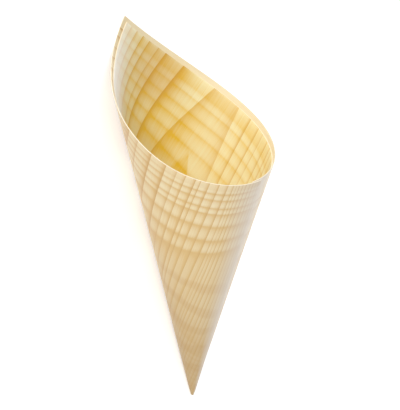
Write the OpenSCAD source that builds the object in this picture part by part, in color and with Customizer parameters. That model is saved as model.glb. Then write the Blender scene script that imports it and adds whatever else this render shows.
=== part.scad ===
// Finger food cone of thin pine veneer, lying on its side.
// Two square plies, their grain crossed at right angles, are bonded and rolled corner to corner
// round the tip, so that the opposite corner stands up as the peak of the mouth.
// Lengths are in millimetres and angles in degrees. +X runs from the tip to the mouth, +Z is up,
// and the origin is below the middle of the lying cone, on the surface that it lies on.

/* [Sheet] */
// Length of the longest line of the sheet, from the tip to the peak
peak_length = 180; // [110:1:240]
// Angle of the sheet's corner at the peak
peak_corner = 90; // [80:1:100]
// Thickness of one ply of veneer
ply_t = 0.4; // [0.25:0.05:0.5]
// How far the edge of the inner ply stays below the edge of the outer ply
ply_step = 2.8; // [0.5:0.1:6]

/* [Roll] */
// Half angle of the cone where it leaves the tip
half_angle = 13.72; // [11:0.01:18]
// How far the wall bends outwards from a straight cone, measured at the peak
flare = 1.85; // [0:0.05:4]
// Overlap of the rolled sheet on itself, as an angle round the cone
lap_angle = 8; // [3:0.5:40]
// Azimuth of the outer end of the sheet, counted round from the peak
seam_azimuth = 178; // [150:1:200]
// Glue line between the two layers of the lap
lap_gap = 0.06; // [0.03:0.01:0.15]

/* [Springback] */
// How far the wall leaves a true circle as an oval, measured at the peak
oval = 1.57; // [0:0.01:3]
// Azimuth of the oval's long axis, counted from the peak
oval_azimuth = 162.6; // [0:0.1:180]
// How far the wall leaves a true circle as three soft corners, measured at the peak
lobe = 0.56; // [0:0.01:1]
// Azimuth of the first soft corner, counted from the peak
lobe_azimuth = 24.9; // [0:0.1:120]

/* [Tip] */
// Outer radius of the blunt end of the tip
tip_r = 0.6; // [0.4:0.05:1]
// How far the pressed tip is drawn in, measured at the sheet's corner
tip_draw = 0.4; // [0:0.05:0.6]
// Length from the sheet's corner over which the wall is drawn in
draw_length = 35; // [15:1:50]
// Radius of the pinhole that the roll leaves where the veneer starts to be pinched together
pinhole_r = 0.1; // [0.06:0.01:0.2]

/* [Rest] */
// Azimuth of the line of the wall that the lying cone rests on, counted from the peak
rest_azimuth = 12; // [-60:1:60]
// Depth of the small flat spot that the wall takes where it rests
rest_flat = 0.12; // [0:0.01:0.2]

/* [Hidden] */

// Strips of the wall round the cone, and rows along it from the tip to the mouth
columns = 144;
rows = 7;

stack_t = 2 * ply_t;
// What the sheet climbs outwards in one turn, so that it passes over its own start
turn_rise = stack_t + lap_gap;
// Share of the longest line at which the flat angle of one turn is taken, near the low side of the mouth
low_share = 0.72;
turn_flat = 360 * (sin(half_angle) + flare / peak_length * low_share * cos(half_angle));
start_azimuth = seam_azimuth - 360 - lap_angle;
draw_rate = tip_draw / draw_length;
tip_slant = (tip_r + tip_draw * cos(half_angle)) / (sin(half_angle) + draw_rate * cos(half_angle));
// What the rolled wall takes up beside the axis, and how fast the cone makes room for it
wall_room = stack_t + turn_rise / 2;
room_rate = tan(half_angle) - (oval + lobe) / peak_length + draw_rate;
// Up to here the veneer is pinched thinner towards the tip
full_slant = (wall_room + pinhole_r + tip_draw) / room_rate;

// Length of the line of the sheet at azimuth th, from the tip to the cut edge of the outer ply
function rim(th) =
    let (c = peak_corner / 2)
    peak_length * sin(c) / sin(c + abs(th) * turn_flat / 360);

// How far the wall stands off a straight round cone
function bulge(th, s) =
    let (k = s / peak_length)
    let (draw = max(0, tip_draw - s * draw_rate))
    flare * k * k - draw + k * (oval * cos(2 * (th - oval_azimuth)) + lobe * cos(3 * (th - lobe_azimuth)));

// Share of its full thickness that the veneer keeps
function pinch(s) = min(1, (s * room_rate - tip_draw - pinhole_r) / wall_room);

// A point of the sheet at azimuth th, slant length s and depth d below the outer face.
// The cone stands on its tip at the origin here, with its axis along +Z and its peak at azimuth 0.
function sheet_point(th, s, d) =
    let (off = bulge(th, s) + pinch(s) * (turn_rise * th / 360 - d))
    let (out = s * sin(half_angle) + off * cos(half_angle))
    [out * cos(th), out * sin(th), s * cos(half_angle) - off * sin(half_angle)];

// Slant length of row j, which ends at the edge of the inner ply
function row_slant(th, j) =
    j < 2 ? [tip_slant, full_slant][j] :
    draw_length + (rim(th) - ply_step - draw_length) * (j - 2) / (rows - 2);

// Section of the sheet at azimuth th: up the outer face, over the stepped edge, down the inner face
function section(th) = concat(
    [for (j = [0:rows]) sheet_point(th, row_slant(th, j), 0)],
    [sheet_point(th, rim(th), 0)],
    [sheet_point(th, rim(th), ply_t)],
    [sheet_point(th, row_slant(th, rows), ply_t)],
    [for (j = [rows:-1:0]) sheet_point(th, row_slant(th, j), stack_t)]
);

ring = 2 * rows + 5;
// One column lies on the peak, so that its corner stays sharp
before_peak = round(columns * start_azimuth / (start_azimuth - seam_azimuth));
after_peak = columns - before_peak;
azimuths = concat(
    [for (i = [before_peak:-1:1]) start_azimuth * i / before_peak],
    [for (i = [0:after_peak]) seam_azimuth * i / after_peak]
);
standing = [for (th = azimuths) each section(th)];

// Laying the cone down: the resting line turns to azimuth 0 and then swings down to the surface
function turned(p, a) = [p[0] * cos(a) + p[1] * sin(a), p[1] * cos(a) - p[0] * sin(a), p[2]];
function pitched(p, a) = [p[0] * cos(a) + p[2] * sin(a), p[1], p[2] * cos(a) - p[0] * sin(a)];
swung = [for (p = standing) pitched(turned(p, rest_azimuth), 90 - half_angle)];

// The tip end and the mouth both touch the surface after this last small turn
tip_low = min([for (p = swung) if (p[0] < 2 * tip_slant) p[2]]);
rest_pitch = min([for (p = swung) if (p[0] > peak_length / 3) atan2(p[2] - tip_low, p[0] - tip_slant)]);
laid = [for (p = swung) pitched(p, rest_pitch)];

// The flat spot: nothing reaches lower than its height above the first line of contact
flat_height = min([for (p = laid) p[2]]) + rest_flat;
rested = [for (p = laid) [p[0], p[1], max(p[2], flat_height)]];

low = [for (k = [0:2]) min([for (p = rested) p[k]])];
high = [for (k = [0:2]) max([for (p = rested) p[k]])];
base_middle = [(low[0] + high[0]) / 2, (low[1] + high[1]) / 2, low[2]];

// Number of the point k of the section in column i
function at(i, k) = i * ring + k % ring;

// The faces and edges of the sheet, strip by strip round its section
function skin() = [
    for (i = [0:columns - 1]) for (k = [0:ring - 1])
        each [[at(i, k), at(i, k + 1), at(i + 1, k + 1)], [at(i, k), at(i + 1, k + 1), at(i + 1, k)]]
];

// A cut end of the sheet in column i, as strips between its outer and its inner face
function cut_end(i) =
    let (top = rows, edge = rows + 3)
    concat(
        [for (j = [0:top - 2]) each [
            [at(i, j), at(i, ring - 1 - j), at(i, j + 1)],
            [at(i, j + 1), at(i, ring - 1 - j), at(i, ring - 2 - j)]
        ]],
        [
            [at(i, top - 1), at(i, edge), at(i, top)],
            [at(i, top - 1), at(i, edge + 2), at(i, edge)],
            [at(i, edge), at(i, edge + 2), at(i, edge + 1)],
            [at(i, top), at(i, edge), at(i, top + 1)],
            [at(i, top + 1), at(i, edge), at(i, top + 2)]
        ]
    );

function flipped(faces) = [for (f = faces) [f[0], f[2], f[1]]];

module cone() {
    color("wheat")
        polyhedron(
            points = [for (p = rested) p - base_middle],
            faces = concat(skin(), cut_end(0), flipped(cut_end(columns))),
            convexity = 6
        );
}

cone();
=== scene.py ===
# %% [markdown]
# # A finger food cone of pine veneer
# The object is one sheet, rolled into a cone. The sheet is two square plies of sliced pine, glued
# with their grain crossed so that the thin wood doesn't split. It lies on its side here, because
# a pointed cone can't stand. This lesson cuts each ply flat, rolls it, lays it down and then
# gives it its grain, its light and a camera.

# %% Load the fixed frame
import math
from types import SimpleNamespace

import bmesh
import bpy
from mathutils import Matrix, Vector


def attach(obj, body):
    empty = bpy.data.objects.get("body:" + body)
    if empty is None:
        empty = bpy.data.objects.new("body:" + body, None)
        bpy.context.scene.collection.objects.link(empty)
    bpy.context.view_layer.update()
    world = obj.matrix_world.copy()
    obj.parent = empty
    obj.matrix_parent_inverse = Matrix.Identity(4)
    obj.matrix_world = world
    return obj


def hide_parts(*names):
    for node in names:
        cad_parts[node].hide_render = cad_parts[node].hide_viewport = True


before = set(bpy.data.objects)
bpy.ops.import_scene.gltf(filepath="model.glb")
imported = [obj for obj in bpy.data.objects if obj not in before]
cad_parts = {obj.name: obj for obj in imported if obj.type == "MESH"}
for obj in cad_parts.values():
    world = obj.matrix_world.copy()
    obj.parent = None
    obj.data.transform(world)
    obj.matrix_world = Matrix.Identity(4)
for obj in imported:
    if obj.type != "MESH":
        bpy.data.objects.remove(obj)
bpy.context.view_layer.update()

# %% [markdown]
# ## The sheet's sizes
# The square stands on one corner. That corner becomes the tip of the cone and the opposite one
# the peak of the mouth, so the diagonal is the longest line of the wall. The inner ply is laid a
# little lower than the outer one, which leaves a step of single veneer round the mouth.

# %% Sizes of the flat sheet, in millimetres and degrees
MM = 0.001
PEAK_LENGTH = 180.0
PEAK_CORNER = 90.0
PLY = 0.4
PLY_STEP = 2.8
TIP_RADIUS = 0.6
TIP_DRAW = 0.4
DRAW_LENGTH = 35.0

# %% [markdown]
# ## The roll
# A real sheet is damped, rolled round a steel cone and glued. It springs back a little, so the
# mouth is slightly oval and its wall flares. These are the same values that the solid uses.

# %% Values of the rolled cone, in millimetres and degrees
HALF_ANGLE = 13.72
FLARE = 1.85
LAP_ANGLE = 8.0
SEAM_AZIMUTH = 178.0
START_AZIMUTH = SEAM_AZIMUTH - 360.0 - LAP_ANGLE
LAP_GAP = 0.06
OVAL, OVAL_AZIMUTH = 1.57, 162.6
LOBE, LOBE_AZIMUTH = 0.56, 24.9
PINHOLE = 0.1

STACK = 2 * PLY
TURN_RISE = STACK + LAP_GAP
half = math.radians(HALF_ANGLE)
LOW_SIDE_SHARE = 0.72
TURN_FLAT = 360 * (math.sin(half) + FLARE / PEAK_LENGTH * LOW_SIDE_SHARE * math.cos(half))
DRAW_RATE = TIP_DRAW / DRAW_LENGTH
TIP_SLANT = (TIP_RADIUS + TIP_DRAW * math.cos(half)) / (math.sin(half) + DRAW_RATE * math.cos(half))
WALL_ROOM = STACK + TURN_RISE / 2
ROOM_RATE = math.tan(half) - (OVAL + LOBE) / PEAK_LENGTH + DRAW_RATE
FULL_SLANT = (WALL_ROOM + PINHOLE + TIP_DRAW) / ROOM_RATE
print(f"one turn takes {TURN_FLAT:.2f} degrees of the flat sheet")


# %% [markdown]
# ## From flat to rolled
# Each point of the sheet is known by three things: its azimuth round the cone, its slant length
# from the tip, and its depth below the outer face. One function says where it lies on the flat
# sheet, which is what the grain needs. Another says where it lies on the rolled cone.

# %% Where the sheet's edge is, and where a point is flat
def rim(azimuth):
    corner = math.radians(PEAK_CORNER / 2)
    turned = math.radians(abs(azimuth) * TURN_FLAT / 360)
    return PEAK_LENGTH * math.sin(corner) / math.sin(corner + turned)


def flat_place(azimuth, slant):
    angle = math.radians(azimuth * TURN_FLAT / 360)
    return slant * math.sin(angle), slant * math.cos(angle)


print(f"side corner of the square at {rim(SEAM_AZIMUTH):.1f} mm from the tip")


# %% Where a point is on the cone, which stands on its tip with its peak at azimuth 0
def rolled_place(azimuth, slant, depth):
    k = slant / PEAK_LENGTH
    oval = OVAL * math.cos(2 * math.radians(azimuth - OVAL_AZIMUTH))
    lobe = LOBE * math.cos(3 * math.radians(azimuth - LOBE_AZIMUTH))
    draw = max(0.0, TIP_DRAW - slant * DRAW_RATE)
    pinch = min(1.0, (slant * ROOM_RATE - TIP_DRAW - PINHOLE) / WALL_ROOM)
    bulge = FLARE * k * k - draw + k * (oval + lobe)
    off = bulge + pinch * (TURN_RISE * azimuth / 360 - depth)
    out = slant * math.sin(half) + off * math.cos(half)
    height = slant * math.cos(half) - off * math.sin(half)
    around = math.radians(azimuth)
    return Vector((out * math.cos(around), out * math.sin(around), height))


# %% [markdown]
# ## Laying the cone down
# The cone comes to rest on a line beside its long side, touching the surface near the tip and at
# the mouth. A turn about its own axis brings that line to the front, a quarter turn less the half
# angle swings it down, and one degree more lets both ends touch.

# %% The move from the standing cone to the lying one
REST_AZIMUTH = 12.0
REST_PITCH = -1.0826
BASE_MIDDLE = Vector((91.678, -1.030, 0.4319))

LAY_DOWN = (
    Matrix.Scale(MM, 4)
    @ Matrix.Translation(-BASE_MIDDLE)
    @ Matrix.Rotation(math.radians(90 - HALF_ANGLE + REST_PITCH), 4, "Y")
    @ Matrix.Rotation(math.radians(-REST_AZIMUTH), 4, "Z")
)
print("tip of the lying cone:", tuple(round(c, 4) for c in LAY_DOWN @ Vector((0, 0, 0))))


# %% [markdown]
# ## Cutting, rolling and thickening a ply
# A flat grid is the easiest start: its columns become lines from tip to rim and its rows become
# rings. Every vertex keeps its azimuth, slant and depth in its own layers, so the ply can be
# extruded to its thickness and only then rolled. The flat place goes into a UV map, which the
# grain follows for ever after, as real grain follows the bent wood.

# %% How finely a ply is divided, and how many millimetres of sheet fill the UV map
COLUMNS_BEFORE_PEAK = 148
COLUMNS_AFTER_PEAK = 140
ROWS = 46
TIP_ROWS = 2
UV_UNIT = 200.0


def azimuth_of_column(i):
    if i <= COLUMNS_BEFORE_PEAK:
        return START_AZIMUTH * (1 - i / COLUMNS_BEFORE_PEAK)
    return SEAM_AZIMUTH * (i - COLUMNS_BEFORE_PEAK) / COLUMNS_AFTER_PEAK


def slant_of_row(azimuth, j, edge_drop):
    if j <= TIP_ROWS:
        return FULL_SLANT + (TIP_SLANT - FULL_SLANT) * (1 - j / TIP_ROWS)
    share = (j - TIP_ROWS) / (ROWS - TIP_ROWS)
    return FULL_SLANT + (rim(azimuth) - edge_drop - FULL_SLANT) * share


# %% A flat grid whose vertices know their place on the sheet
def cut_flat(edge_drop, outer_depth):
    ply = bmesh.new()
    columns = COLUMNS_BEFORE_PEAK + COLUMNS_AFTER_PEAK
    bmesh.ops.create_grid(ply, x_segments=columns, y_segments=ROWS, size=0.5)
    azimuth = ply.verts.layers.float.new("azimuth")
    slant = ply.verts.layers.float.new("slant")
    depth = ply.verts.layers.float.new("depth")
    for v in ply.verts:
        v[azimuth] = azimuth_of_column(round((v.co.x + 0.5) * columns))
        v[slant] = slant_of_row(v[azimuth], round((v.co.y + 0.5) * ROWS), edge_drop)
        v[depth] = outer_depth
    return ply


# %% Thicken the grid, note its flat places, and roll it
OUTER_FACE, INNER_FACE, CUT_FACE = 0, 1, 2


def roll_up(ply, inner_depth):
    azimuth = ply.verts.layers.float["azimuth"]
    slant = ply.verts.layers.float["slant"]
    depth = ply.verts.layers.float["depth"]
    grown = bmesh.ops.extrude_face_region(ply, geom=ply.faces[:])["geom"]
    for v in grown:
        if isinstance(v, bmesh.types.BMVert):
            v[depth] = inner_depth
    sheet = ply.loops.layers.uv.new("sheet")
    for face in ply.faces:
        depths = [v[depth] for v in face.verts]
        own_face = INNER_FACE if depths[0] == inner_depth else OUTER_FACE
        face.material_index = CUT_FACE if min(depths) != max(depths) else own_face
        face.smooth = True
        for corner in face.loops:
            x, y = flat_place(corner.vert[azimuth], corner.vert[slant])
            corner[sheet].uv = (x / UV_UNIT + 0.5, y / UV_UNIT)
    for v in ply.verts:
        v.co = LAY_DOWN @ rolled_place(v[azimuth], v[slant], v[depth])
        v.co.z = max(v.co.z, 0.0)
    bmesh.ops.recalc_face_normals(ply, faces=ply.faces)


# %% [markdown]
# A knife leaves a crisp edge, but handling takes the sharpness off it. So the edge is eased by
# 0.04 mm, a tenth of the ply, which is enough for it to catch a thin line of light.

# %% Ease the cut edges, in millimetres and degrees, and make the object
EDGE_ROUNDING = 0.04
SHARP_FROM = 35.0


def finish_ply(ply, name):
    cut = [e for e in ply.edges if len({f.material_index for f in e.link_faces}) == 2]
    bmesh.ops.bevel(
        ply, geom=cut, offset=EDGE_ROUNDING * MM, offset_type="OFFSET", affect="EDGES",
        segments=2, profile=0.5, material=CUT_FACE,
    )
    for edge in ply.edges:
        edge.smooth = edge.calc_face_angle(0.0) < math.radians(SHARP_FROM)
    mesh = bpy.data.meshes.new(name)
    print(name, "encloses", round(ply.calc_volume(signed=True) / MM**3, 1), "cubic mm")
    ply.to_mesh(mesh)
    ply.free()
    piece = bpy.data.objects.new(name, mesh)
    bpy.context.scene.collection.objects.link(piece)
    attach(piece, "root")
    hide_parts("cone")
    return piece


# %% The two plies
flat = cut_flat(0.0, 0.0)
roll_up(flat, PLY)
outer_ply = finish_ply(flat, "outer_ply")

flat = cut_flat(PLY_STEP, PLY)
roll_up(flat, STACK)
inner_ply = finish_ply(flat, "inner_ply")


# %% [markdown]
# ## Colours and one helper for nodes
# Colours are written as the sRGB values that a picture shows, and one function turns them to
# the linear values that the renderer needs. One more function adds any node, with its settings
# and its links.

# %% Colour and node helpers
def linear(hex_colour):
    parts = [int(hex_colour[i:i + 2], 16) / 255 for i in (1, 3, 5)]
    return [c / 12.92 if c <= 0.04045 else ((c + 0.055) / 1.055) ** 2.4 for c in parts] + [1.0]


def put(tree, kind, inputs=None, **settings):
    node = tree.nodes.new(kind)
    for name, value in settings.items():
        setattr(node, name, value)
    for socket, value in (inputs or {}).items():
        if isinstance(value, bpy.types.NodeSocket):
            tree.links.new(value, node.inputs[socket])
        else:
            node.inputs[socket].default_value = value
    return node.outputs[0]


# %% [markdown]
# ## Where the grain runs
# On the flat square, one direction runs down each edge of the mouth from the peak. Along the left
# edge is the direction across the inner ply's grain, and along the right edge is the one across
# the outer ply's. A Mapping node turns the UV map by 135 degrees and makes it millimetres, so
# that X is the distance from the right edge and Y the distance from the left edge.

# %% The square's own two directions, in millimetres
SIDE = PEAK_LENGTH / math.sqrt(2)
MAP_TO_EDGES = 135.0
HALF_MAP = UV_UNIT / 2 * math.sqrt(0.5)


def square_directions(tree):
    uv = put(tree, "ShaderNodeUVMap", uv_map="sheet")
    place = put(tree, "ShaderNodeMapping", {
        "Vector": uv,
        "Scale": (UV_UNIT, UV_UNIT, 1),
        "Rotation": (0, 0, math.radians(MAP_TO_EDGES)),
        "Location": (SIDE + HALF_MAP, SIDE - HALF_MAP, 0),
    })
    return place


print(f"each ply is a square of {SIDE:.1f} mm")

# %% [markdown]
# ## Growth rings
# Veneer is sliced lengthwise from a log, so each year's ring shows as a line along the grain. Pale
# spring wood slowly darkens into summer wood and then stops at a sharp line. Where the knife ran
# close to the ring's own curve, the lines open into nested arches. So the ring under a point is
# the one at radius sqrt(across^2 + height^2). Across is measured from the middle of the figure,
# which wanders along the grain, and height is how far above the log's heart the knife passed.

# %% The figure of each ply, in millimetres along its own grain
# The curves are start, slope and bend along the grain. The heart is the season at the middle, the
# radius of the plain wood round it, and the season there.
INNER_FIGURE = {
    "middle": (60.0, -0.07, 0.00075),
    "height_squared": (1000.0, -2.4, -0.058),
    "rings_to_peak": [25.6, 32.4, 39.9, 46.7, 49.7, 53.9, 57.1, 60.3, 63.3, 66.1],
    "rings_to_low_side": [
        25.6, 32.4, 35.2, 38.5, 41.1, 44.8, 47.9, 50.4, 54.3, 58.5, 63.2, 68.0,
        72.9, 77.0, 81.0,
    ],
    "heart": (0.25, 16.0, 0.40),
}
OUTER_FIGURE = {
    "middle": (48.0, 0.0, 0.0),
    "height_squared": (100.0, 3.9, 0.0),
    "rings_to_peak": [14.9, 20.0, 24.8, 30.0, 34.6, 39.9, 43.4],
    "rings_to_low_side": [
        14.9, 20.0, 27.9, 35.4, 40.3, 44.0, 48.1, 50.0, 53.3, 56.9, 60.4, 62.8, 64.0, 65.3, 66.9,
        68.5, 70.5, 72.0, 73.6, 75.2, 76.8, 78.4, 80.0, 81.6,
    ],
    "heart": (0.0, 7.0, 0.45),
}
FIGURE_REACH = 90.0
for ply_name, figure in (("inner", INNER_FIGURE), ("outer", OUTER_FIGURE)):
    widths = [b - a for a, b in zip(figure["rings_to_peak"], figure["rings_to_peak"][1:])]
    print(f"{ply_name} ply: years {min(widths):.1f} to {max(widths):.1f} mm wide towards the peak")


# %% A value that changes along the grain as a gentle curve
def along_grain(tree, along, curve):
    start, slope, bend = curve
    rising = put(tree, "ShaderNodeMath", {0: along, 1: bend, 2: slope}, operation="MULTIPLY_ADD")
    return put(tree, "ShaderNodeMath", {0: along, 1: rising, 2: start}, operation="MULTIPLY_ADD")


# %% [markdown]
# ## Counting the years
# A colour ramp turns the radius into a count of years, because years differ in width. The whole
# part of the count names the ring and its fraction is the season, from 0 just after one line to 1
# at the next. The first year is the heart of the figure, which stays plain for some way.

# %% Count of years on one side of the figure
def count_years(tree, radius, rings, heart):
    share = put(tree, "ShaderNodeMath", {0: radius, 1: FIGURE_REACH}, operation="DIVIDE")
    count = put(tree, "ShaderNodeValToRGB", {"Fac": share})
    stops = count.node.color_ramp.elements
    years = len(rings) + 1
    season_at_heart, heart_radius, season_round_heart = heart
    level = season_at_heart / years
    stops[0].color = (level, level, level, 1)
    level = season_round_heart / years
    stops.new(heart_radius / FIGURE_REACH).color = (level, level, level, 1)
    stops[-1].color = (1, 1, 1, 1)
    for i, line in enumerate(rings):
        level = (i + 1) / years
        stops.new(line / FIGURE_REACH).color = (level, level, level, 1)
    return put(tree, "ShaderNodeMath", {0: count, 1: float(years)}, operation="MULTIPLY")


# %% Count of years over a whole ply
def ply_years(tree, across, along, figure):
    middle = along_grain(tree, along, figure["middle"])
    height = along_grain(tree, along, figure["height_squared"])
    aside = put(tree, "ShaderNodeMath", {0: across, 1: middle}, operation="SUBTRACT")
    squares = put(tree, "ShaderNodeMath", {0: aside, 1: aside, 2: height}, operation="MULTIPLY_ADD")
    above = put(tree, "ShaderNodeMath", {0: squares, 1: 0.0}, operation="MAXIMUM")
    radius = put(tree, "ShaderNodeMath", {0: above}, operation="SQRT")
    low = put(tree, "ShaderNodeMath", {0: aside, 1: 0.0}, operation="GREATER_THAN")
    peak_years = count_years(tree, radius, figure["rings_to_peak"], figure["heart"])
    low_years = count_years(tree, radius, figure["rings_to_low_side"], figure["heart"])
    return put(tree, "ShaderNodeMix", {0: low, 2: peak_years, 3: low_years}, data_type="FLOAT")


# %% [markdown]
# ## From years to the darkness of the wood
# The season raised to a high power is the thin dark line of the summer wood, and raised to a low
# power it is the broad golden shade before it. No two years are equally dark, so white noise on
# the whole years sets how strong each ring is. Seen through the other ply the same rings are
# softer, because light spreads in the wood, so their sharp side falls off gradually too.

# %% How dark each year is
LINE_SHARPNESS, LINE_STRENGTHS = 7.0, (0.55, 1.0)
SHADE_SHARPNESS, SHADE_STRENGTHS = 2.8, (0.45, 1.0)
BEHIND_SHARPNESS, BEHIND_FALL = 3.5, 8.0


def year_strength(tree, years, least, most):
    whole = put(tree, "ShaderNodeMath", {0: years}, operation="FLOOR")
    chance = put(tree, "ShaderNodeTexWhiteNoise", {"W": whole}, noise_dimensions="1D")
    return put(tree, "ShaderNodeMapRange", {"Value": chance, "To Min": least, "To Max": most})


# %% The line and the golden shade of the ply that is seen
def summer_line(tree, years):
    season = put(tree, "ShaderNodeMath", {0: years}, operation="FRACT")
    line = put(tree, "ShaderNodeMath", {0: season, 1: LINE_SHARPNESS}, operation="POWER")
    strength = year_strength(tree, years, *LINE_STRENGTHS)
    return put(tree, "ShaderNodeMath", {0: line, 1: strength}, operation="MULTIPLY")


def golden_shade(tree, years):
    season = put(tree, "ShaderNodeMath", {0: years}, operation="FRACT")
    shade = put(tree, "ShaderNodeMath", {0: season, 1: SHADE_SHARPNESS}, operation="POWER")
    strength = year_strength(tree, years, *SHADE_STRENGTHS)
    return put(tree, "ShaderNodeMath", {0: shade, 1: strength}, operation="MULTIPLY")


# %% The soft ring of the ply behind
def ring_behind(tree, years):
    season = put(tree, "ShaderNodeMath", {0: years}, operation="FRACT")
    summer = put(tree, "ShaderNodeMath", {0: season, 1: BEHIND_SHARPNESS}, operation="POWER")
    left = put(tree, "ShaderNodeMath", {0: 1.0, 1: season}, operation="SUBTRACT")
    falling = put(tree, "ShaderNodeMath", {0: left, 1: BEHIND_FALL}, operation="POWER")
    return put(tree, "ShaderNodeMath", {0: summer, 1: falling}, operation="MAXIMUM")


# %% [markdown]
# ## Lines that wander, fibres and clouds
# A tree doesn't grow by a ruler, so the lines sway by about a millimetre over a hand's width. The
# fibres are about 0.03 mm thick, far too fine to show, so they are drawn as streaks of 0.5 mm.
# The same streaks lift the surface by a few hundredths of a millimetre. Clouds are the slow changes
# of colour that a real board has.

# %% The years of both plies at a point, with their lines swaying a little
SWAY_ACROSS, SWAY_ALONG = 50.0, 200.0
SWAY = 1.2


def both_plies(tree, place, outer_on_top):
    across, along = 1 / SWAY_ACROSS, 1 / SWAY_ALONG
    own_scale = (along, across, 1.0) if outer_on_top else (across, along, 1.0)
    wander = put(tree, "ShaderNodeMapping", {"Vector": place, "Scale": own_scale})
    sway = put(tree, "ShaderNodeTexNoise", {"Vector": wander, "Scale": 1.0, "Detail": 3.0})
    shift = put(tree, "ShaderNodeMath", {0: sway, 1: 2 * SWAY, 2: -SWAY}, operation="MULTIPLY_ADD")
    split = put(tree, "ShaderNodeSeparateXYZ", {0: place}).node
    from_right, from_left = split.outputs[0], split.outputs[1]
    inner_across = put(tree, "ShaderNodeMath", {0: from_right, 1: shift}, operation="ADD")
    outer_across = put(tree, "ShaderNodeMath", {0: from_left, 1: shift}, operation="ADD")
    inner = ply_years(tree, inner_across, from_left, INNER_FIGURE)
    outer = ply_years(tree, outer_across, from_right, OUTER_FIGURE)
    pair = (outer, inner) if outer_on_top else (inner, outer)
    return *pair, from_right, from_left


# %% Streaks of fibres along the grain, and broad clouds in the wood
FIBRE_WIDTH, FIBRE_LENGTH = 0.5, 20.0
CLOUDS_PER_MM = 0.045


def fibre_streaks(tree, place, outer_on_top):
    across, along = 1 / FIBRE_WIDTH, 1 / FIBRE_LENGTH
    stretch = (along, across, 1.0) if outer_on_top else (across, along, 1.0)
    stretched = put(tree, "ShaderNodeMapping", {"Vector": place, "Scale": stretch})
    return put(tree, "ShaderNodeTexNoise", {"Vector": stretched, "Scale": 1.0, "Detail": 3.0})


def clouds(tree, place):
    return put(tree, "ShaderNodeTexNoise", {"Vector": place, "Scale": CLOUDS_PER_MM, "Detail": 2.0})


print(f"streaks {FIBRE_WIDTH} mm wide, clouds about {1 / CLOUDS_PER_MM:.0f} mm across")

# %% [markdown]
# ## A face of veneer
# Pine veneer is sliced with a knife and left bare. Every face of the sheet is that same wood, so
# all of them start alike: each point learns its place on the square, how far it is from the tip,
# the years of both plies, and the two noises.

# %% Start a face of veneer
def start_veneer(name, outer_on_top):
    material = bpy.data.materials.new(name)
    material.use_nodes = True
    tree = material.node_tree
    place = square_directions(tree)
    own, other, from_right, from_left = both_plies(tree, place, outer_on_top)
    from_tip = put(tree, "ShaderNodeVectorMath", {0: place, 1: (SIDE, SIDE, 0)},
                   operation="DISTANCE").node.outputs["Value"]
    return SimpleNamespace(
        material=material, tree=tree, place=place, from_tip=from_tip,
        from_right=from_right, from_left=from_left, own=own, other=other,
        fibre=fibre_streaks(tree, place, outer_on_top), cloud=clouds(tree, place),
    )


# %% [markdown]
# ## The ply behind
# Veneer of 0.4 mm lets light through, so the rings of the ply behind show wherever two plies lie
# together, painted as a soft glow of that light. Near the mouth's edge there is one ply only.
# Towards the tip little light comes through the closed hollow, and the painted glow all but
# vanishes.

# %% Glow of the ply behind, in millimetres from the mouth's edge and from the tip
GLOW_EDGE = 0.4
GLOW_FAINT_AT, GLOW_CLEAR_AT, LEAST_GLOW = 62.0, 96.0, 0.25


def glow_of_ply_behind(veneer, most):
    tree = veneer.tree
    nearest = put(tree, "ShaderNodeMath", {0: veneer.from_right, 1: veneer.from_left},
                  operation="MINIMUM")
    two_plies = put(tree, "ShaderNodeMapRange", {
        "Value": nearest, "From Min": PLY_STEP - GLOW_EDGE, "From Max": PLY_STEP + GLOW_EDGE,
        "To Max": most,
    })
    high = put(tree, "ShaderNodeMapRange", {
        "Value": veneer.from_tip, "From Min": GLOW_FAINT_AT, "From Max": GLOW_CLEAR_AT,
        "To Min": LEAST_GLOW,
    })
    share = put(tree, "ShaderNodeMath", {0: two_plies, 1: high}, operation="MULTIPLY")
    ring = ring_behind(tree, veneer.other)
    return put(tree, "ShaderNodeMath", {0: ring, 1: share}, operation="MULTIPLY")


# %% The ply's own lines, clearer towards the mouth
LINES_FAINT_AT, LINES_CLEAR_AT, LEAST_LINES = 50.0, 125.0, 0.4


def own_lines(veneer):
    tree = veneer.tree
    clear = put(tree, "ShaderNodeMapRange", {
        "Value": veneer.from_tip, "From Min": LINES_FAINT_AT, "From Max": LINES_CLEAR_AT,
        "To Min": LEAST_LINES,
    })
    line = summer_line(tree, veneer.own)
    return put(tree, "ShaderNodeMath", {0: line, 1: clear}, operation="MULTIPLY")


# %% [markdown]
# ## From shade and line to colour
# Spring wood is pale, summer wood golden, and the line at a year's end brown. So two mixes make
# the colour: from spring to golden by the shade, and from there to the line's brown. The streaks
# and clouds join the shade. A third mix paints shade on the tip, where little light comes through
# the tight roll and the closed hollow behind it.

# %% Colours of pine, as a picture shows them
OUTSIDE_WOOD = {"spring": "#f3e2ba", "golden": "#e6c688", "line": "#cf9f5c"}
INSIDE_WOOD = {"spring": "#f6eaba", "golden": "#eabf30", "line": "#d6a038"}
# The single ply's near-white colours are painted light shining through it from behind.
SINGLE_PLY_LIT_THROUGH = {"spring": "#fdfcf6", "golden": "#f8f4e6", "line": "#e8d8b4"}
# The tip's colour below is painted shade, where little light comes through the wood.
SHADED_TIP = "#b08d5c"
STREAK_SHADE, CLOUD_SHADE, PLAIN_SHADE = 0.9, 0.6, 0.75
TIP_TONE_STARTS, TIP_TONE_ENDS, TIP_TONE = 112.0, 5.0, 0.60


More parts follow.
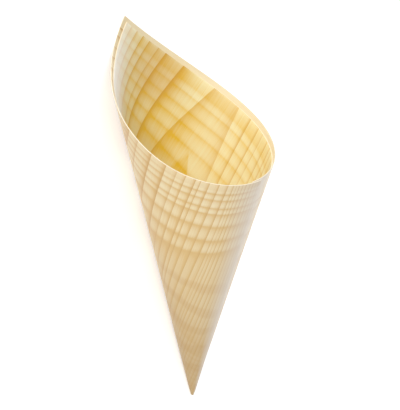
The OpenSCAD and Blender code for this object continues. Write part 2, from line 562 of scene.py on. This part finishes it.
# %% Colour of the wood
def wood_colour(veneer, golden, line, wood, gold_per_shade=1.0):
    tree = veneer.tree
    streaked = put(tree, "ShaderNodeMath", {0: veneer.fibre, 1: STREAK_SHADE, 2: golden},
                   operation="MULTIPLY_ADD")
    clouded = put(tree, "ShaderNodeMath", {0: veneer.cloud, 1: CLOUD_SHADE, 2: streaked},
                  operation="MULTIPLY_ADD")
    gold = put(tree, "ShaderNodeMath", {
        0: clouded, 1: gold_per_shade, 2: -PLAIN_SHADE * gold_per_shade,
    }, operation="MULTIPLY_ADD", use_clamp=True)
    pale = put(tree, "ShaderNodeMix", {
        0: gold, "A": linear(wood["spring"]), "B": linear(wood["golden"]),
    }, data_type="RGBA").node.outputs[2]
    lined = put(tree, "ShaderNodeMix", {
        0: line, "A": pale, "B": linear(wood["line"]),
    }, data_type="RGBA").node.outputs[2]
    # Painted shade: the tip is darker, as little light comes through the tight roll and the closed
    # hollow behind it.
    tip = put(tree, "ShaderNodeMapRange", {
        "Value": veneer.from_tip, "From Min": TIP_TONE_STARTS, "From Max": TIP_TONE_ENDS,
        "To Max": TIP_TONE,
    }, interpolation_type="SMOOTHSTEP")
    return put(tree, "ShaderNodeMix", {
        0: tip, "A": lined, "B": linear(SHADED_TIP),
    }, data_type="RGBA").node.outputs[2]


# %% [markdown]
# ## The feel of the surface
# A knife leaves bare wood matt, with a faint satin where light runs along the fibres. Roughness is
# near the middle, the IOR is that of wood, and a little sheen stands for the loose fibre ends. The
# streaks drive a bump, so highlights break up along the grain.

# %% Surface of bare veneer
VENEER_ROUGHNESS, WOOD_IOR = 0.48, 1.5
FIBRE_SHEEN, SHEEN_ROUGHNESS = 0.3, 0.35
FIBRE_RELIEF, RELIEF_STRENGTH = 0.2 * MM, 0.25


def finish_veneer(veneer, colour):
    tree = veneer.tree
    shader = tree.nodes["Principled BSDF"]
    tree.links.new(colour, shader.inputs["Base Color"])
    relief = put(tree, "ShaderNodeBump", {
        "Height": veneer.fibre, "Strength": RELIEF_STRENGTH, "Distance": FIBRE_RELIEF,
    })
    tree.links.new(relief, shader.inputs["Normal"])
    shader.inputs["Roughness"].default_value = VENEER_ROUGHNESS
    shader.inputs["IOR"].default_value = WOOD_IOR
    shader.inputs["Sheen Weight"].default_value = FIBRE_SHEEN
    shader.inputs["Sheen Roughness"].default_value = SHEEN_ROUGHNESS
    print(veneer.material.name, "has", len(tree.nodes), "nodes")
    return veneer.material


# %% [markdown]
# ## The outside
# The outside is the outer ply's face, with the inner ply's rings glowing through as soft bands
# round the cone. Three things are its own. The lower half is more golden. Low on the cone, near
# the heart of the inner ply's figure, the bands are wide and brown. And at the side corners of the
# square a painted sheen of grazing light makes it pale and a little pink.

# %% Values of the outside, in millimetres
OUTSIDE_GLOW, BROWN_OF_GLOW = 0.9, 0.25
LOWER_GOLD_STARTS, LOWER_GOLD_ENDS, LOWER_GOLD = 128.0, 85.0, 0.35
HEART_BAND, HEART_BANDS_APART, HEART_BANDS_SWAY = 63.0, 12.5, 12.0
HEART_BANDS_START, HEART_BANDS_FULL, HEART_BANDS_BROWN = 84.0, 75.0, 0.26
LEAST_WAVE = -0.2
# The side corners' colour is a painted sheen of grazing light.
SIDE_CORNER_SHEEN = "#f6ece2"
SIDE_CORNER_STARTS, SIDE_CORNER_ENDS, SIDE_CORNER_TONE = 0.85, 0.97, 0.75
# The under-edge colour and its share are painted shade on the single ply along the right edge.
UNDER_EDGE_SHADE = "#d6b070"
UNDER_EDGE_BLUR, UNDER_EDGE_TONE = 0.6, 0.22


# %% Soft brown bands near the heart of the figure, seen through the outer ply
def heart_bands(veneer):
    tree = veneer.tree
    swaying = put(tree, "ShaderNodeMath", {
        0: veneer.cloud, 1: HEART_BANDS_SWAY, 2: veneer.from_right,
    }, operation="MULTIPLY_ADD")
    turns_per_mm = math.tau / HEART_BANDS_APART
    phase = put(tree, "ShaderNodeMath", {
        0: swaying, 1: turns_per_mm, 2: -HEART_BAND * turns_per_mm,
    }, operation="MULTIPLY_ADD")
    wave = put(tree, "ShaderNodeMath", {0: phase}, operation="COSINE")
    band = put(tree, "ShaderNodeMapRange", {
        "Value": wave, "From Min": LEAST_WAVE, "From Max": 1.0, "To Max": HEART_BANDS_BROWN,
    }, interpolation_type="SMOOTHSTEP")
    near_tip = put(tree, "ShaderNodeMapRange", {
        "Value": veneer.from_tip, "From Min": HEART_BANDS_START, "From Max": HEART_BANDS_FULL,
    })
    return put(tree, "ShaderNodeMath", {0: band, 1: near_tip}, operation="MULTIPLY")


# %% Shade and lines of the outside
def outside_shade(veneer, glow):
    tree = veneer.tree
    shade = golden_shade(tree, veneer.own)
    shade = put(tree, "ShaderNodeMath", {0: shade, 1: glow}, operation="ADD")
    lower = put(tree, "ShaderNodeMapRange", {
        "Value": veneer.from_tip, "From Min": LOWER_GOLD_STARTS, "From Max": LOWER_GOLD_ENDS,
        "To Max": LOWER_GOLD,
    })
    return put(tree, "ShaderNodeMath", {0: shade, 1: lower}, operation="ADD")


def outside_lines(veneer, glow):
    tree = veneer.tree
    line = put(tree, "ShaderNodeMath", {0: glow, 1: BROWN_OF_GLOW, 2: own_lines(veneer)},
               operation="MULTIPLY_ADD")
    return put(tree, "ShaderNodeMath", {0: line, 1: heart_bands(veneer)}, operation="ADD")


# %% Painted sheen at the sides of the square, pale and a little pink
def sheen_on_side_corners(veneer, colour):
    tree = veneer.tree
    sideways = put(tree, "ShaderNodeMath", {0: veneer.from_right, 1: veneer.from_left},
                   operation="SUBTRACT")
    share = put(tree, "ShaderNodeMath", {0: sideways, 1: veneer.from_tip}, operation="DIVIDE")
    share = put(tree, "ShaderNodeMath", {0: share}, operation="ABSOLUTE")
    corner = put(tree, "ShaderNodeMapRange", {
        "Value": share, "From Min": SIDE_CORNER_STARTS, "From Max": SIDE_CORNER_ENDS,
        "To Max": SIDE_CORNER_TONE,
    })
    return put(tree, "ShaderNodeMix", {
        0: corner, "A": colour, "B": linear(SIDE_CORNER_SHEEN),
    }, data_type="RGBA").node.outputs[2]


# %% Painted shade on the single ply along the sheet's right edge, which sends back less light than two plies
def shaded_under_edge(veneer, colour):
    tree = veneer.tree
    under_edge = put(tree, "ShaderNodeMapRange", {
        "Value": veneer.from_right, "From Min": PLY_STEP + UNDER_EDGE_BLUR,
        "From Max": PLY_STEP - UNDER_EDGE_BLUR, "To Max": UNDER_EDGE_TONE,
    })
    return put(tree, "ShaderNodeMix", {
        0: under_edge, "A": colour, "B": linear(UNDER_EDGE_SHADE),
    }, data_type="RGBA").node.outputs[2]


# %% The outside's material
veneer = start_veneer("sliced_pine_outside", outer_on_top=True)
glow = glow_of_ply_behind(veneer, OUTSIDE_GLOW)
colour = wood_colour(
    veneer, outside_shade(veneer, glow), outside_lines(veneer, glow), OUTSIDE_WOOD,
)
colour = shaded_under_edge(veneer, sheen_on_side_corners(veneer, colour))
face_out = finish_veneer(veneer, colour)

# %% [markdown]
# ## The inside
# Inside, light bounces from wall to wall and deepens the wood's yellow, so its golden colour is a
# stronger one. The inner ply's arches are what the eye goes to. Their golden shade is full on the
# sheet's right half and faint on its left. Deep in the cone the heart's own arch is faint too.

# %% Values of the inside, in millimetres
INSIDE_GLOW, INSIDE_GOLD = 0.6, 0.8
FULL_SHADE_TO, FAINT_SHADE_FROM, FAINT_SHADE = 50.0, 61.0, 0.35
HEART_FADE_STARTS, HEART_FADE_ENDS, HEART_FADE = 46.0, 58.0, 0.85
INSIDE_LINES = 0.75
ARCH_TIP_FROM_RIGHT, ARCH_TIP_FROM_LEFT = 59.0, 31.8
ARCH_SPREAD_RIGHT, ARCH_SPREAD_LEFT = 0.57, 0.37
ARCH_SHARP_SIDE, ARCH_SOFT_SIDE = (-0.1, 0.5), (-0.6, 1.6)
ARCH_FADE_STARTS, ARCH_FADE_ENDS, ARCH_SHADE = 8.0, 30.0, 0.6
GOLD_AND_SHADE_PATCH = (38.0, 33.0, 0.0)
GOLD_AND_SHADE_PATCH_INSIDE, GOLD_AND_SHADE_PATCH_REACH, GOLD_AND_SHADE_PATCH_SHADE = 8.0, 32.0, 0.45
PEAK_SHADE_PATCH = (26.5, 10.0, 0.0)
PEAK_SHADE_PATCH_INSIDE, PEAK_SHADE_PATCH_REACH, PEAK_SHADE_PATCH_TONE = 4.0, 22.0, 0.46


# %% How far the heart's arch fades deep in the cone
def heart_fading(veneer):
    tree = veneer.tree
    in_heart = put(tree, "ShaderNodeMath", {0: veneer.own, 1: 1.0}, operation="LESS_THAN")
    deep = put(tree, "ShaderNodeMapRange", {
        "Value": veneer.from_left, "From Min": HEART_FADE_STARTS, "From Max": HEART_FADE_ENDS,
        "To Max": -HEART_FADE,
    })
    return put(tree, "ShaderNodeMath", {0: in_heart, 1: deep, 2: 1.0}, operation="MULTIPLY_ADD")


# %% [markdown]
# At the middle of the inner ply's figure, the knife just touched another year's wood. It shows as
# a golden arch, pointed towards the mouth and wider away from it. One side is sharp, one soft.

# %% The pointed arch in the middle of the figure
def arch_tip(veneer):
    tree = veneer.tree
    below = put(tree, "ShaderNodeMath", {0: veneer.from_left, 1: ARCH_TIP_FROM_LEFT},
                operation="SUBTRACT")
    aside = put(tree, "ShaderNodeMath", {0: veneer.from_right, 1: ARCH_TIP_FROM_RIGHT},
                operation="SUBTRACT")
    to_right = put(tree, "ShaderNodeMath", {0: below, 1: ARCH_SPREAD_RIGHT}, operation="MULTIPLY")
    to_right = put(tree, "ShaderNodeMath", {0: to_right, 1: aside}, operation="SUBTRACT")
    to_left = put(tree, "ShaderNodeMath", {0: below, 1: ARCH_SPREAD_LEFT, 2: aside},
                  operation="MULTIPLY_ADD")
    sharp = put(tree, "ShaderNodeMapRange", {
        "Value": to_right, "From Min": ARCH_SHARP_SIDE[0], "From Max": ARCH_SHARP_SIDE[1],
    })
    soft = put(tree, "ShaderNodeMapRange", {
        "Value": to_left, "From Min": ARCH_SOFT_SIDE[0], "From Max": ARCH_SOFT_SIDE[1],
    })
    fading = put(tree, "ShaderNodeMapRange", {
        "Value": below, "From Min": ARCH_FADE_ENDS, "From Max": ARCH_FADE_STARTS,
    })
    arch = put(tree, "ShaderNodeMath", {0: sharp, 1: soft}, operation="MULTIPLY")
    return put(tree, "ShaderNodeMath", {0: arch, 1: fading}, operation="MULTIPLY")


# %% Shade of the inside
def inside_shade(veneer, glow, fading):
    tree = veneer.tree
    fainter = put(tree, "ShaderNodeMapRange", {
        "Value": veneer.from_right, "From Min": FULL_SHADE_TO, "From Max": FAINT_SHADE_FROM,
        "To Min": 1.0, "To Max": FAINT_SHADE,
    })
    shade = golden_shade(tree, veneer.own)
    shade = put(tree, "ShaderNodeMath", {0: shade, 1: fainter}, operation="MULTIPLY")
    shade = put(tree, "ShaderNodeMath", {0: shade, 1: fading, 2: glow}, operation="MULTIPLY_ADD")
    shade = put(tree, "ShaderNodeMath", {0: arch_tip(veneer), 1: ARCH_SHADE, 2: shade},
                operation="MULTIPLY_ADD")
    # The golden patch is partly the wood's golden year and partly painted shade on the less lit
    # side.
    from_patch = put(tree, "ShaderNodeVectorMath", {0: veneer.place, 1: GOLD_AND_SHADE_PATCH},
                     operation="DISTANCE").node.outputs["Value"]
    patch = put(tree, "ShaderNodeMapRange", {
        "Value": from_patch, "From Min": GOLD_AND_SHADE_PATCH_REACH, "From Max": GOLD_AND_SHADE_PATCH_INSIDE,
        "To Max": GOLD_AND_SHADE_PATCH_SHADE,
    }, interpolation_type="SMOOTHSTEP")
    return put(tree, "ShaderNodeMath", {0: shade, 1: patch}, operation="ADD")


# %% Lines of the inside, and painted shade near the peak, where less light falls
def inside_lines(veneer, fading):
    tree = veneer.tree
    softer = put(tree, "ShaderNodeMath", {0: fading, 1: INSIDE_LINES}, operation="MULTIPLY")
    # Painted shade: the wood near the peak is browner where less light falls on it.
    from_patch = put(tree, "ShaderNodeVectorMath", {0: veneer.place, 1: PEAK_SHADE_PATCH},
                     operation="DISTANCE").node.outputs["Value"]
    brown = put(tree, "ShaderNodeMapRange", {
        "Value": from_patch, "From Min": PEAK_SHADE_PATCH_REACH, "From Max": PEAK_SHADE_PATCH_INSIDE,
        "To Max": PEAK_SHADE_PATCH_TONE,
    }, interpolation_type="SMOOTHSTEP")
    return put(tree, "ShaderNodeMath", {0: own_lines(veneer), 1: softer, 2: brown},
               operation="MULTIPLY_ADD")


# %% [markdown]
# Along the sheet's right edge the inside is painted almost white, a sheen of light on the wall
# seen at a grazing angle. The strip of painted sheen is wider and whiter away from the peak.

# %% The strip of painted sheen
EDGE_SHEEN = "#fffefc"
EDGE_SHEEN_FADES_FROM, EDGE_SHEEN_FADES_TO, EDGE_SHEEN_WIDENS = -1.0, 13.0, 0.2
EDGE_SHEEN_FAINT_AT, EDGE_SHEEN_FULL_AT, FAINT_EDGE_SHEEN, FULL_EDGE_SHEEN = 8.0, 32.0, 0.5, 0.95


def with_edge_sheen(veneer, colour):
    tree = veneer.tree
    from_strip = put(tree, "ShaderNodeMath", {
        0: veneer.from_left, 1: -EDGE_SHEEN_WIDENS, 2: veneer.from_right,
    }, operation="MULTIPLY_ADD")
    strip = put(tree, "ShaderNodeMapRange", {
        "Value": from_strip, "From Min": EDGE_SHEEN_FADES_TO, "From Max": EDGE_SHEEN_FADES_FROM,
    }, interpolation_type="SMOOTHSTEP")
    white = put(tree, "ShaderNodeMapRange", {
        "Value": veneer.from_left, "From Min": EDGE_SHEEN_FAINT_AT, "From Max": EDGE_SHEEN_FULL_AT,
        "To Min": FAINT_EDGE_SHEEN, "To Max": FULL_EDGE_SHEEN,
    })
    edge_sheen = put(tree, "ShaderNodeMath", {0: strip, 1: white}, operation="MULTIPLY")
    # Painted sheen: the strip is mixed towards white.
    return put(tree, "ShaderNodeMix", {
        0: edge_sheen, "A": colour, "B": linear(EDGE_SHEEN),
    }, data_type="RGBA").node.outputs[2]


# %% The inside's material
veneer = start_veneer("sliced_pine_inside", outer_on_top=False)
glow = glow_of_ply_behind(veneer, INSIDE_GLOW)
fading = heart_fading(veneer)
colour = wood_colour(
    veneer, inside_shade(veneer, glow, fading), inside_lines(veneer, fading), INSIDE_WOOD,
    INSIDE_GOLD,
)
face_in = finish_veneer(veneer, with_edge_sheen(veneer, colour))

# %% [markdown]
# ## The band of single veneer and the cut edges
# The band that the outer ply shows above the inner one is a single ply with light behind it, so it
# looks almost white, with its own faint rings and none behind. The cut edges are cut clean, 0.4 mm
# wide, and as pale as the spring wood. At that width one plain colour stands for them.

# %% The band's material
veneer = start_veneer("sliced_pine_single_ply", outer_on_top=True)
colour = wood_colour(
    veneer, golden_shade(veneer.tree, veneer.own), own_lines(veneer), SINGLE_PLY_LIT_THROUGH,
)
face_band = finish_veneer(veneer, colour)

# %% The cut edge's material
CUT_EDGE = "#f9efd8"
edge_wood = bpy.data.materials.new("cut_pine_edge")
edge_wood.use_nodes = True
edge_wood.node_tree.nodes["Principled BSDF"].inputs["Base Color"].default_value = linear(CUT_EDGE)

# %% Put the veneer on the plies: outer face, inner face and cut edge
for finish in (face_out, face_band, edge_wood):
    outer_ply.data.materials.append(finish)
for finish in (face_in, face_in, edge_wood):
    inner_ply.data.materials.append(finish)
print("finishes:", [m.name for m in outer_ply.data.materials] + [face_in.name])

# %% [markdown]
# ## Rays that meet plain white
# The photo shows the cone on plain white. The floor and the sky are white to the camera and to
# rays that shine off something, but they light the wood with their own softer strength.

# %% Rays that should meet plain white
def rays_that_show_white(tree):
    ray = put(tree, "ShaderNodeLightPath").node.outputs
    mirrored = put(tree, "ShaderNodeMath", {0: ray["Is Glossy Ray"], 1: ray["Is Transmission Ray"]},
                   operation="MAXIMUM")
    return put(tree, "ShaderNodeMath", {0: ray["Is Camera Ray"], 1: mirrored}, operation="MAXIMUM")


# %% [markdown]
# ## Floor
# A sheet of white paper is enough of a studio. It is matt, so it mirrors nothing. A little light
# of its own lifts it to white where the camera sees it, and the cone's shadow still shows on it.

# %% The sheet of paper, half its width in metres
FLOOR_HALF = 6.0

floor_mesh = bpy.data.meshes.new("floor")
ground = bmesh.new()
bmesh.ops.create_grid(ground, x_segments=1, y_segments=1, size=FLOOR_HALF)
ground.to_mesh(floor_mesh)
ground.free()
floor = bpy.data.objects.new("floor", floor_mesh)
bpy.context.scene.collection.objects.link(floor)

# %% The paper's finish
PAPER, PAPER_ROUGHNESS, PAPER_LIFT = (0.85, 0.85, 0.85, 1), 0.9, 0.5
WHITE = (1, 1, 1, 1)

white = bpy.data.materials.new("white_paper_floor")
white.use_nodes = True
tree = white.node_tree
plain = tree.nodes["Principled BSDF"]
plain.inputs["Base Color"].default_value = PAPER
plain.inputs["Roughness"].default_value = PAPER_ROUGHNESS
plain.inputs["Specular IOR Level"].default_value = 0.0
seen = rays_that_show_white(tree)
lift = put(tree, "ShaderNodeEmission", {"Color": WHITE, "Strength": PAPER_LIFT})
both = put(tree, "ShaderNodeAddShader", {0: plain.outputs[0], 1: lift})
mixed = put(tree, "ShaderNodeMixShader", {0: seen, 1: plain.outputs[0], 2: both})
tree.links.new(mixed, tree.nodes["Material Output"].inputs["Surface"])
floor_mesh.materials.append(white)
print(f"paper of {2 * FLOOR_HALF:.0f} m, lifted by {PAPER_LIFT}")

# %% [markdown]
# ## Light
# The sky fills every shadow, as a white room does. Three soft lamps then shape the cone. One
# before the mouth lights the inside and the near wall, and a weaker one beyond the tip lights the
# wall near it. A low one at the back lights the wall's upper edge, at the right of the picture.

# %% World
SKY_STRENGTH = 0.5

world = bpy.data.worlds.new("studio")
bpy.context.scene.world = world
world.use_nodes = True
tree = world.node_tree
sky = tree.nodes["Background"]
sky.inputs["Color"].default_value = WHITE
sky.inputs["Strength"].default_value = SKY_STRENGTH
plain_white = put(tree, "ShaderNodeBackground", {"Color": WHITE, "Strength": 1.0})
seen = rays_that_show_white(tree)
mixed = put(tree, "ShaderNodeMixShader", {0: seen, 1: sky.outputs[0], 2: plain_white})
tree.links.new(mixed, tree.nodes["World Output"].inputs["Surface"])


# %% Lamps: place, aim and width in metres, and power in watts
LAMPS = {
    "before_the_mouth": ((0.76, 0.62, 0.22), (0.04, 0, 0.03), 0.5, 6.0),
    "beyond_the_tip": ((-0.80, 0.35, 0.50), (0, 0, 0.02), 0.6, 2.3),
    "low_back": ((0.05, -1.20, 0.14), (0, 0, 0.03), 0.8, 12.5),
}

for name, (place, aim, width, watts) in LAMPS.items():
    light = bpy.data.lights.new(name, "AREA")
    light.shape = "DISK"
    light.size = width
    light.energy = watts
    lamp = bpy.data.objects.new(name, light)
    lamp.location = place
    lamp.rotation_euler = (Vector(aim) - Vector(place)).to_track_quat("-Z", "Y").to_euler()
    bpy.context.scene.collection.objects.link(lamp)
    print(f"{name}: {watts} W, {(Vector(aim) - Vector(place)).length:.2f} m away")

# %% [markdown]
# ## Camera
# The camera is the photo's own, carried along as the cone was laid down, so the picture is rolled
# by a quarter turn and the cone seems to stand on its tip.

# %% Camera, given in the frame of the standing cone, in millimetres
CAMERA_PLACE = Vector((-299.6, 367.5, 325.2))
IMAGE_RIGHT = Vector((-0.762592, -0.645725, 0.038647))
IMAGE_UP = Vector((0.303446, -0.304324, 0.902944))
FOCAL_PIXELS = 1226.7
IMAGE_HEIGHT = 410
SENSOR_WIDTH = 36.0

lens = bpy.data.cameras.new("camera")
lens.sensor_width = SENSOR_WIDTH
lens.lens = FOCAL_PIXELS / IMAGE_HEIGHT * lens.sensor_width
camera = bpy.data.objects.new("camera", lens)
lay_axes = LAY_DOWN.to_3x3()
right = (lay_axes @ IMAGE_RIGHT).normalized()
back = right.cross(lay_axes @ IMAGE_UP).normalized()
camera.matrix_world = (
    Matrix.Translation(LAY_DOWN @ CAMERA_PLACE)
    @ Matrix((right, back.cross(right), back)).transposed().to_4x4()
)
bpy.context.scene.collection.objects.link(camera)
bpy.context.scene.camera = camera
print(f"lens {lens.lens:.1f} mm, camera {camera.location.length:.2f} m from the origin")

# %% [markdown]
# ## Looking at the result
# The Standard view shows the colours as they were given.

bpy.context.scene.view_settings.view_transform = "Standard"
